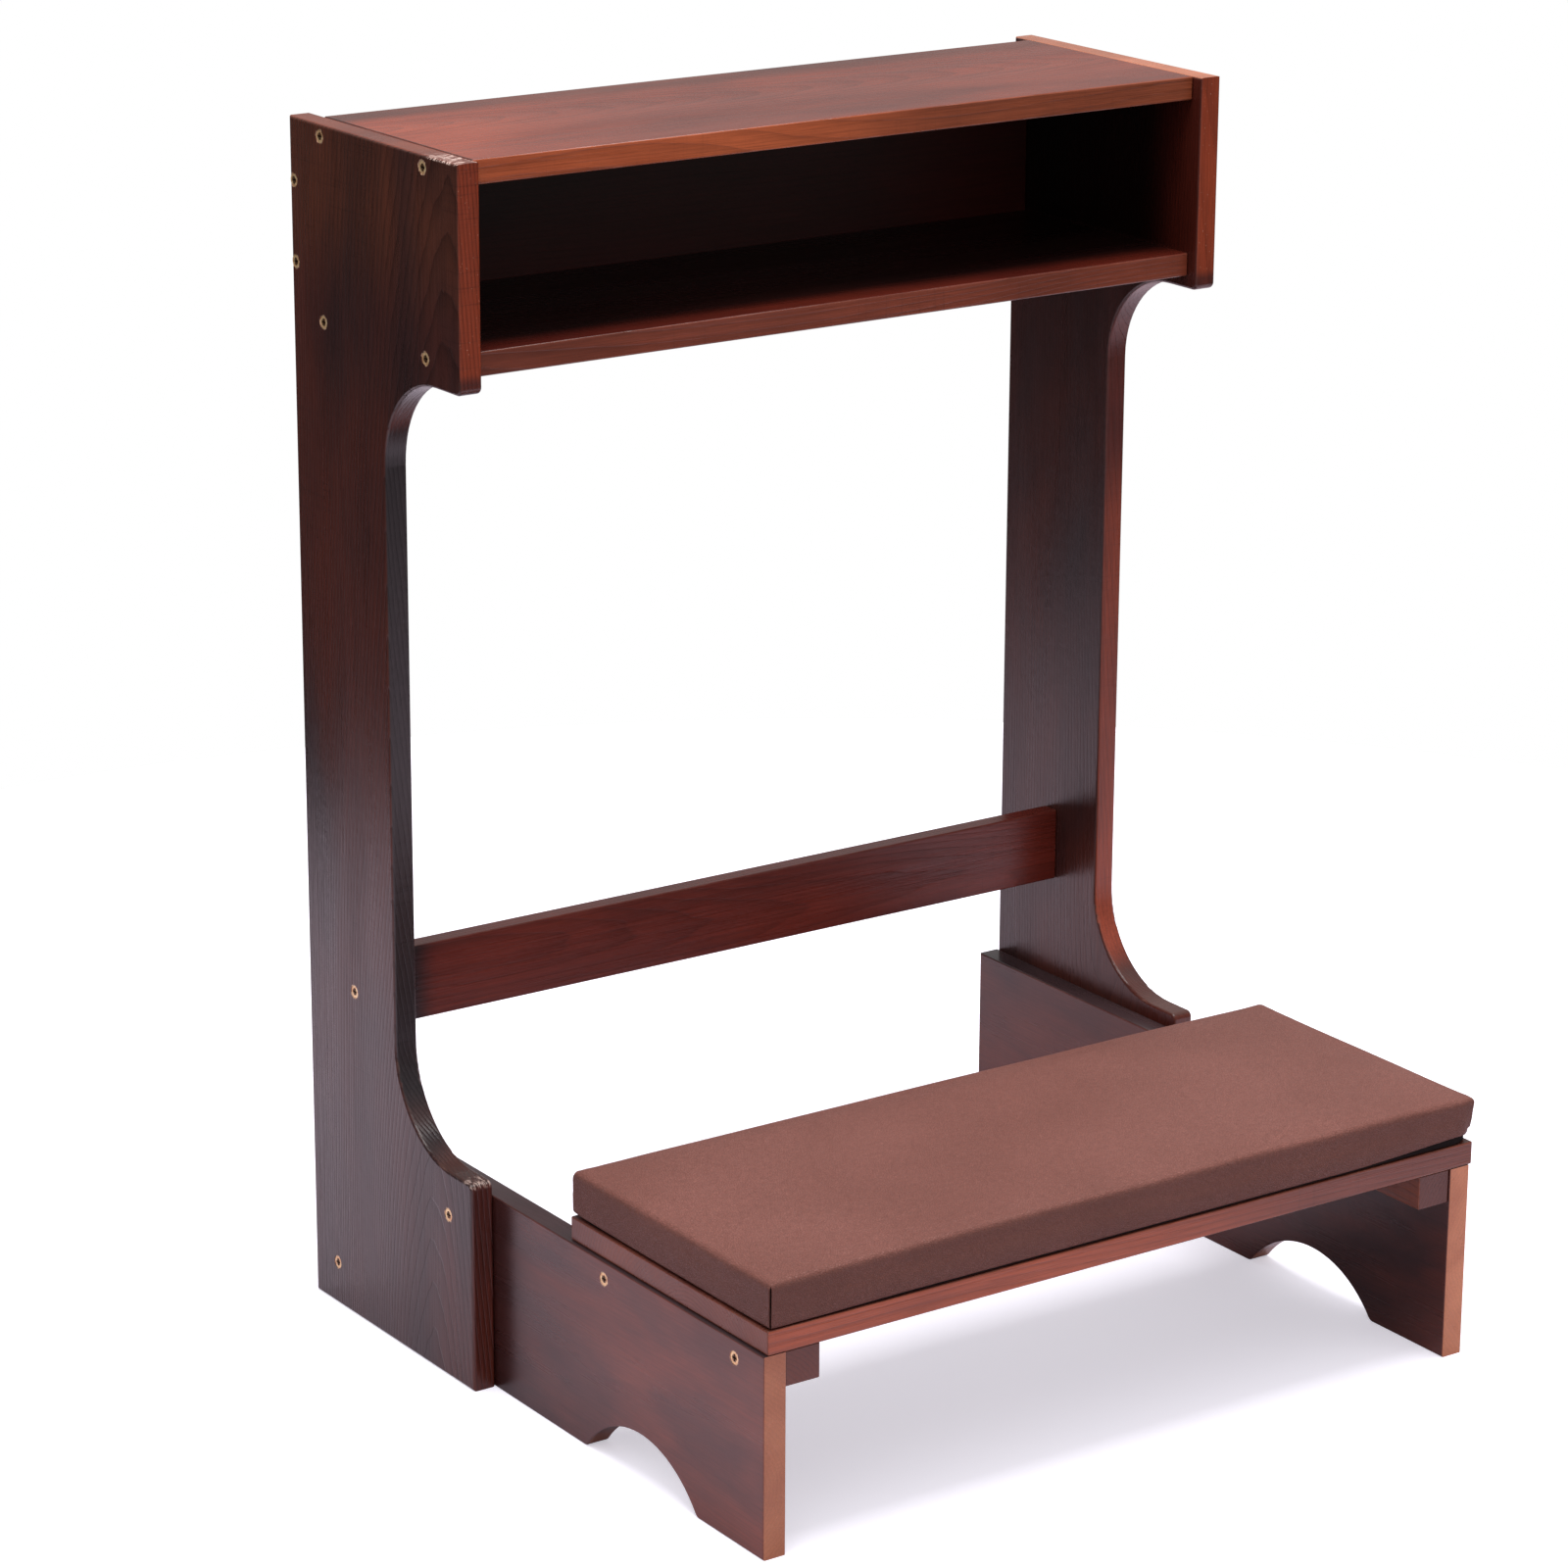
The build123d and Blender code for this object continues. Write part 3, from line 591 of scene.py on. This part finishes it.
CORNER_PULLS = {            # (side, end): how far its lower point is lifted, and pulled in
    (-1, -1): (0.0, 0.4 * MM),
    (1, -1): (7.8 * MM, 4.6 * MM),
    (-1, 1): (1.0 * MM, 1.0 * MM),
    (1, 1): (2.0 * MM, 2.0 * MM),
}
PULL_REACH = 120 * MM       # along the edges
SIM_GRID = 9 * MM
SIM_VOXEL = 5 * MM
SIM_INSET = 1.2 * MM
SIM_HELD = 2.5 * MM         # points this near the lower face don't move
SIM_FRAMES = 20
SIM_CAP = 3 * MM            # a movement nears this and never passes it
SIM_DIP = 0.4 * MM          # the most that the cover sinks anywhere
SIM_NEIGHBOURS = 8          # a movement is read from this many simulated points
SIM_BLUR = 2 * MM
FOAM_GAP = (3.2 * MM, 3.2 * MM, 1.2 * MM)   # the foam stays this far inside its CAD box
FOAM_RAISED = 0.2 * MM
FOAM_RADIUS = 9 * MM
FOAM_GRID = 8 * MM
FOAM_FOLLOWS = 0.8          # the foam's top rises by this share of the cover's rise


def graded(half, first, growth, most):
    """Places from -half to half: first apart at both ends, then each gap growth times the one
    before, up to most."""
    gaps, step, reach = [], first, 0.0
    while reach + step < half:
        gaps.append(step)
        reach += step
        step = min(step * growth, most)
    places = np.concatenate(([0.0], np.cumsum(gaps)))
    places *= half / (places[-1] + gaps[-1] * 0.5)
    return np.concatenate((places - half, (half - places)[::-1]))


def box_grid(xs, ys, zs):
    """A closed box surface of quads with the given grid lines."""
    index, points, faces = {}, [], []

    def vertex(i, j, k):
        key = (i, j, k)
        if key not in index:
            index[key] = len(points)
            points.append((xs[i], ys[j], zs[k]))
        return index[key]

    def quad(*corners):
        faces.append([vertex(*corner) for corner in corners])

    nx, ny, nz = len(xs) - 1, len(ys) - 1, len(zs) - 1
    for i in range(nx):
        for j in range(ny):
            quad((i, j, nz), (i + 1, j, nz), (i + 1, j + 1, nz), (i, j + 1, nz))
            quad((i, j, 0), (i, j + 1, 0), (i + 1, j + 1, 0), (i + 1, j, 0))
    for k in range(nz):
        for i in range(nx):
            quad((i, 0, k), (i + 1, 0, k), (i + 1, 0, k + 1), (i, 0, k + 1))
            quad((i, ny, k), (i, ny, k + 1), (i + 1, ny, k + 1), (i + 1, ny, k))
        for j in range(ny):
            quad((0, j, k), (0, j, k + 1), (0, j + 1, k + 1), (0, j + 1, k))
            quad((nx, j, k), (nx, j + 1, k), (nx, j + 1, k + 1), (nx, j, k + 1))
    return np.array(points), faces


def rounded(points, half, top, bottom, power):
    """Box points pushed onto a box with rounded long edges and upright corners of that power."""
    radius = np.where(points[:, 2] > 0, top, bottom)[:, None]
    core = np.clip(points, -(half - radius), half - radius)
    out = points - core
    plan = (np.abs(out[:, :2]) ** power).sum(axis=1) ** (1 / power)
    size = np.hypot(plan, out[:, 2])
    return core + out * radius / np.maximum(size, 1e-9)[:, None]


def new_piece(name, points, faces, material=None):
    mesh = bpy.data.meshes.new(name)
    mesh.from_pydata([tuple(p) for p in points], [], faces)
    mesh.update()
    piece = bpy.data.objects.new(name, mesh)
    bpy.context.scene.collection.objects.link(piece)
    if material:
        mesh.materials.append(material)
    return piece


def apply_modifiers(piece):
    """Replaces the piece's mesh by the one that its modifiers make."""
    graph = bpy.context.evaluated_depsgraph_get()
    made = bpy.data.meshes.new_from_object(piece.evaluated_get(graph))
    piece.modifiers.clear()
    piece.data = made


def points_of(piece):
    flat = np.empty(len(piece.data.vertices) * 3)
    piece.data.vertices.foreach_get("co", flat)
    return flat.reshape(-1, 3)


def swelling():
    """Cloth simulation of the stuffed cover: its points at the start, and how far each moved."""
    half = PAD_HALF - SIM_INSET
    grid, faces = box_grid(*[np.linspace(-h, h, max(3, int(2 * h / SIM_GRID))) for h in half])
    cover = new_piece("pad_sim", rounded(grid, half, TOP_RADIUS, BOTTOM_RADIUS, SQUARE), faces)
    remesh = cover.modifiers.new("remesh", "REMESH")
    remesh.mode = "VOXEL"
    remesh.voxel_size = SIM_VOXEL
    apply_modifiers(cover)
    start = points_of(cover)
    held = cover.vertex_groups.new(name="held")
    low = float(start[:, 2].min())
    held.add([i for i, p in enumerate(start) if p[2] < low + SIM_HELD], 1.0, "REPLACE")
    cloth = cover.modifiers.new("cloth", "CLOTH")
    cloth.settings.quality = 6
    cloth.settings.mass = 0.4
    cloth.settings.tension_stiffness = 400
    cloth.settings.compression_stiffness = 400
    cloth.settings.shear_stiffness = 100
    cloth.settings.bending_stiffness = 10
    cloth.settings.use_pressure = True
    cloth.settings.uniform_pressure_force = 4
    cloth.settings.vertex_group_mass = "held"
    cloth.settings.effector_weights.gravity = 0
    cloth.collision_settings.use_collision = False
    cloth.point_cache.frame_start = 1
    cloth.point_cache.frame_end = SIM_FRAMES
    for number in range(1, SIM_FRAMES + 1):
        bpy.context.scene.frame_set(number)
    apply_modifiers(cover)
    moved = points_of(cover) - start
    size = np.linalg.norm(moved, axis=1, keepdims=True)
    moved *= SIM_CAP / (SIM_CAP + size)
    moved[:, 2] = np.maximum(moved[:, 2], -SIM_DIP)
    bpy.data.objects.remove(cover)
    bpy.context.scene.frame_set(1)
    return start, moved


def carried(points, start, moved):
    """The simulated movement, read at other points from the nearest ones."""
    tree = kdtree.KDTree(len(start))
    for i, p in enumerate(start):
        tree.insert(p, i)
    tree.balance()
    result = np.zeros_like(points)
    for i, p in enumerate(points):
        found = tree.find_n(p, SIM_NEIGHBOURS)
        weights = np.array([1 / (d + SIM_BLUR) ** 2 for _, _, d in found])
        result[i] = weights @ moved[[n for _, n, _ in found]] / weights.sum()
    return result


def ease(x):
    """A smooth step from 0 to 1."""
    x = np.clip(x, 0, 1)
    return x * x * (3 - 2 * x)


def bell(x, width):
    """1 at 0, and nearly 0 two widths away."""
    return np.exp(-(x / width) ** 2)


def upholster(flat, points):
    """Sewn corner slits, pulled corners, puckers and slack. flat is each point's place on the
    plain box, points where the rounding and the simulation have brought it."""
    points = points.copy()
    sign = np.sign(flat[:, :2])
    inset = PAD_HALF[:2] - np.abs(flat[:, :2])       # how far in from each pair of walls
    depth = (PAD_HALF[2] - flat[:, 2]) / (2 * PAD_HALF[2])
    from_corner = inset.max(axis=1)                  # along the wall, for a point on it
    on_wall = inset.min(axis=1) < 0.1 * MM
    diagonal = -sign / math.sqrt(2)
    outward = np.where(inset == inset.min(axis=1, keepdims=True), sign, 0)

    below_top = ease((PAD_HALF[2] - flat[:, 2] - SLIT_START) / SLIT_FADE)
    slit = SLIT_DEPTH * bell(from_corner, SLIT_WIDTH) * below_top
    points[:, :2] += diagonal * slit[:, None]
    lip = LIP * bell(from_corner - LIP_PLACE, LIP_WIDTH) * on_wall * ease((depth - 0.06) / 0.1)
    points[:, :2] += outward * lip[:, None]

    # plan distance past the plywood's rounded corner, 0 at its face and 1 at the cover's corner
    past = np.linalg.norm(np.maximum(PAD_CORE - inset, 0), axis=1) - PAD_CORE
    past = ease(past / (PAD_CORE * (math.sqrt(2) - 1)))
    near = ease(1 - from_corner / PULL_REACH)
    for (side, end), (lift, pull) in CORNER_PULLS.items():
        here = (sign[:, 0] == side) & (sign[:, 1] == end)
        points[:, 2] += here * lift * (0.55 * past + 0.45 * near) * depth ** 1.3
        inward = here * pull * (0.85 * past + 0.15 * near) * (0.15 + 0.85 * depth)
        points[:, :2] += diagonal * inward[:, None]
        edge = bell(flat[:, 2] - PAD_HALF[2] + 2 * MM, 5 * MM) * (inset.min(axis=1) < 7 * MM)
        wave = np.sin(from_corner / PUCKER_WAVE + side * 1.3 + end * 0.7)
        wave = wave * np.exp(-from_corner / PUCKER_REACH)
        pucker = here * PUCKER * wave * edge * ease(from_corner / (3 * MM))
        points[:, 2] += pucker * 0.7
        points[:, :2] += outward * (pucker * 0.7)[:, None]

    long_way = np.abs(flat[:, 0]) / PAD_HALF[0]
    points[:, 2] += CROWN * (1 - long_way ** 4) * ease(1 - depth)
    rise = ease((flat[:, 0] + PAD_HALF[0]) / FRONT_RISE)
    rise = rise * ease(1 - (flat[:, 1] + PAD_HALF[1]) / FRONT_BAND)
    points[:, 2] += FRONT_LIFT * rise * ease((depth - 0.5) / 0.5)
    for i, p in enumerate(flat):
        sway = noise.noise(Vector((p[0] * 11, p[1] * 13, p[2] * 20)))
        points[i] += (0, 0, SLACK * sway * ease(1 - depth[i]))
    return points


def finish_piece(piece, node):
    """One subdivision, smooth faces, a place at the pad's middle, a parent on the root body, and
    the CAD node that it stands for hidden.
    """
    subdivide = piece.modifiers.new("finer", "SUBSURF")
    subdivide.levels = subdivide.render_levels = 1
    apply_modifiers(piece)
    piece.data.polygons.foreach_set("use_smooth", [True] * len(piece.data.polygons))
    piece.location = PAD_MID
    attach(piece, "root")
    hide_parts(node)


def make_pad():
    """The vinyl cover, stuffed by a cloth simulation, and its foam."""
    xs = graded(PAD_HALF[0], FINE_GAP, 1.35, WIDE_GAP)
    ys = graded(PAD_HALF[1], FINE_GAP, 1.35, WIDE_GAP)
    zs = graded(PAD_HALF[2], FINE_LEVEL, 1.25, WIDE_LEVEL)
    flat, faces = box_grid(xs, ys, zs)
    points = rounded(flat, PAD_HALF, TOP_RADIUS, BOTTOM_RADIUS, SQUARE)
    start, moved = swelling()
    if start is not None:
        points += carried(points, start, moved)
    cover = new_piece("kneeling_pad_cover", upholster(flat, points), faces, vinyl())
    finish_piece(cover, "pad_cover")

    low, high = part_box("pad_foam")
    half = np.array((high - low) / 2) - FOAM_GAP
    centre = np.array((low + high) / 2 - PAD_MID)
    centre[2] += FOAM_RAISED
    flat, faces = box_grid(*[np.linspace(-h, h, max(5, int(2 * h / FOAM_GRID))) for h in half])
    points = rounded(flat, half, FOAM_RADIUS, FOAM_RADIUS, 2) + centre
    if start is not None:
        rise = np.maximum(carried(points, start, moved)[:, 2], 0)
        points[:, 2] += FOAM_FOLLOWS * rise * (flat[:, 2] > 0)
    core = new_piece("kneeling_pad_foam", points, faces, foam())
    finish_piece(core, "pad_foam")


# ---- light, floor and camera -------------------------------------------------------

SKY_LOW, SKY_HIGH, SKY_FRONT = 0.27, 1.0, 0.25
FLOOR_RADIUS, FLOOR_GLOW = 1.55, 0.55
FLOOR_SEEN = (0.82, 0.80, 0.87, 1)
FLOOR_LIT = (0.42, 0.40, 0.43, 1)
FLOOR_MIRRORED = (0.86, 0.72, 0.84, 1)
CAMERA_PLACE = (-2.05641, -2.83655, 1.51253)
CAMERA_YAW, CAMERA_PITCH, CAMERA_ROLL = 0.60399, -0.30356, 0.0050048
CAMERA_LENS, CAMERA_SENSOR, CAMERA_REACH = 117.045, 36.0, 60


def make_floor():
    """A pale disc. The camera sees it brighter than the object's light and gloss do."""
    bpy.ops.mesh.primitive_circle_add(vertices=128, radius=FLOOR_RADIUS, fill_type="NGON")
    floor = bpy.context.object
    floor.name = "floor"
    g = Graph("pale_floor")
    g.finish(Base_Color=FLOOR_SEEN, Roughness=0.9, Emission_Color=FLOOR_SEEN,
             Emission_Strength=FLOOR_GLOW)
    dim = g.node("BsdfDiffuse", {"Color": FLOOR_LIT})
    mirrored = g.node("BsdfDiffuse", {"Color": FLOOR_MIRRORED})
    rays = g.node("LightPath").outputs
    glossy = g.node("MixShader", {0: rays["Is Glossy Ray"], 1: g.shader.outputs[0],
                                  2: mirrored.outputs[0]})
    mixed = g.node("MixShader", {0: rays["Is Diffuse Ray"], 1: glossy.outputs[0],
                                 2: dim.outputs[0]})
    g.feed(g.tree.nodes["Material Output"].inputs[0], mixed.outputs[0])
    floor.data.materials.append(g.material)


def make_world():
    """Plain white for the camera. Diffuse light comes from a soft sky that is brighter overhead
    and a little in front. Gloss comes from a studio that is bright overhead, at the rear right
    and in front, and dark at the rear left."""
    world = bpy.data.worlds.new("studio")
    bpy.context.scene.world = world
    world.use_nodes = True
    tree = world.node_tree
    tree.nodes.clear()

    def node(kind, **settings):
        made = tree.nodes.new("ShaderNode" + kind)
        for key, value in settings.items():
            setattr(made, key, value)
        return made

    direction = node("TexCoord").outputs["Generated"]
    kind_of_ray = node("LightPath").outputs

    def lobe(toward, low, high, weak, strong):
        """Light that grows from weak to strong towards one direction."""
        dot = node("VectorMath", operation="DOT_PRODUCT")
        tree.links.new(direction, dot.inputs[0])
        dot.inputs[1].default_value = Vector(toward).normalized()
        ramp = node("MapRange", interpolation_type="SMOOTHSTEP")
        tree.links.new(dot.outputs["Value"], ramp.inputs["Value"])
        limits = {"From Min": low, "From Max": high, "To Min": weak, "To Max": strong}
        for key, value in limits.items():
            ramp.inputs[key].default_value = value
        return ramp.outputs[0]

    def background(*lobes):
        """White light that is as strong as the lobes together, or plain white without any."""
        made = node("Background")
        made.inputs["Color"].default_value = WHITE
        total = 1.0
        for number, one in enumerate(lobes):
            if number == 0:
                total = one
                continue
            add = node("Math", operation="ADD")
            tree.links.new(total, add.inputs[0])
            tree.links.new(one, add.inputs[1])
            total = add.outputs[0]
        if lobes:
            tree.links.new(total, made.inputs["Strength"])
        return made.outputs[0]

    def choose(ray, otherwise, chosen):
        """chosen for rays of that kind, otherwise for all the rest."""
        made = node("MixShader")
        tree.links.new(kind_of_ray[ray], made.inputs[0])
        tree.links.new(otherwise, made.inputs[1])
        tree.links.new(chosen, made.inputs[2])
        return made.outputs[0]

    gloss = background(lobe((0, 0, 1), 0.0, 1.0, 0.02, 0.40),
                       lobe((0.6, 0.8, 0.25), 0.55, 0.97, 0.0, 0.32),
                       lobe((-0.3, -1.0, 0.2), 0.2, 0.95, 0.0, 0.25))
    sky = background(lobe((0, 0, 1), 0.0, 0.9, SKY_LOW, SKY_HIGH),
                     lobe((-0.2, -1.0, 0.7), 0.1, 0.95, 0.0, SKY_FRONT))
    either = choose("Is Glossy Ray", sky, gloss)
    seen = choose("Is Camera Ray", either, background())
    tree.links.new(seen, node("OutputWorld").inputs[0])


def make_light(name, place, target, size, power):
    """A white area light that looks at target."""
    data = bpy.data.lights.new(name, "AREA")
    data.shape = "RECTANGLE"
    data.size, data.size_y = size
    data.energy = power
    lamp = bpy.data.objects.new(name, data)
    lamp.location = place
    lamp.rotation_mode = "QUATERNION"
    lamp.rotation_quaternion = (Vector(target) - Vector(place)).to_track_quat("-Z", "Y")
    bpy.context.scene.collection.objects.link(lamp)


def make_camera():
    """A long lens to the left of the front, a little above the desk."""
    yaw, pitch, roll = CAMERA_YAW, CAMERA_PITCH, CAMERA_ROLL
    ahead = Vector((math.sin(yaw) * math.cos(pitch), math.cos(yaw) * math.cos(pitch),
                    math.sin(pitch)))
    right = Vector((math.cos(yaw), -math.sin(yaw), 0))
    up = right.cross(ahead)
    rolled_right = right * math.cos(roll) + up * math.sin(roll)
    rolled_up = up * math.cos(roll) - right * math.sin(roll)
    data = bpy.data.cameras.new("camera")
    data.sensor_width = CAMERA_SENSOR
    data.lens = CAMERA_LENS
    data.clip_end = CAMERA_REACH
    camera = bpy.data.objects.new("camera", data)
    camera.location = CAMERA_PLACE
    camera.rotation_mode = "QUATERNION"
    axes = Matrix((rolled_right, rolled_up, -ahead)).transposed()
    camera.rotation_quaternion = axes.to_quaternion()
    bpy.context.scene.collection.objects.link(camera)
    bpy.context.scene.camera = camera


# ---- making ------------------------------------------------------------------------

make_camera()
make_world()
make_floor()
make_light("overhead", place=(0.0, -0.1, 2.6), target=(0, -0.05, 0), size=(2.2, 1.3), power=62)
dress_wood()
dress_hardware()
make_pad()
bpy.context.scene.view_settings.view_transform = "Standard"
